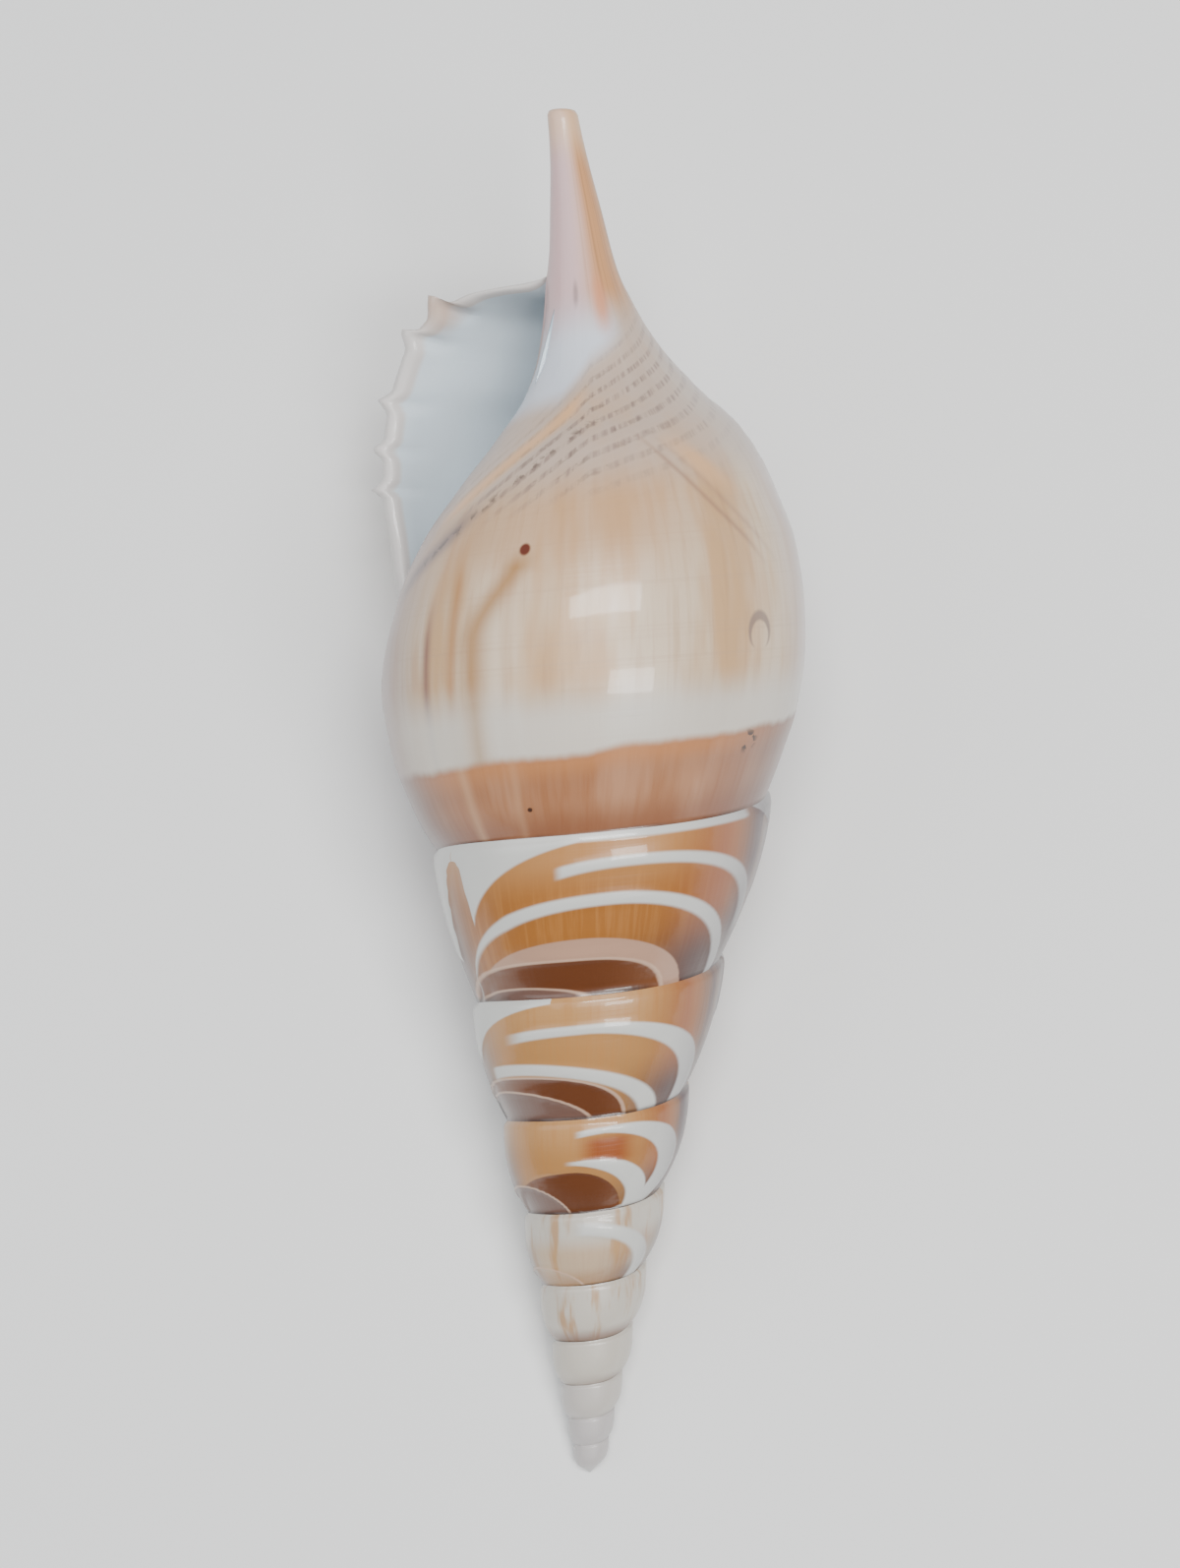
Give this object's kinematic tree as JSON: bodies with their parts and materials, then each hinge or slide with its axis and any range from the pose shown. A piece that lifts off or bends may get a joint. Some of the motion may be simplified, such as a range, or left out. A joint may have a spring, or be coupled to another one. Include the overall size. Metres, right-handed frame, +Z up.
{
  "type": "carved tibia shell",
  "caption": "Long spired sea shell with a swollen last whorl, a slender canal, a toothed outer lip and carved arcs around the spire.",
  "frame": {"origin": "middle of the bounding box's bottom face, on the surface that the shell lies on", "axes": "+Z up, +Y toward the end of the canal, +X to the right when the canal points away from the viewer; the aperture opens toward -X"},
  "size_m": [0.0468, 0.1364, 0.0433],
  "materials": {
    "shell": "polished, cream to tan, white where it is carved"
  },
  "bodies": {
    "root": {"tibia_shell": "shell"}
  },
  "joints": []
}
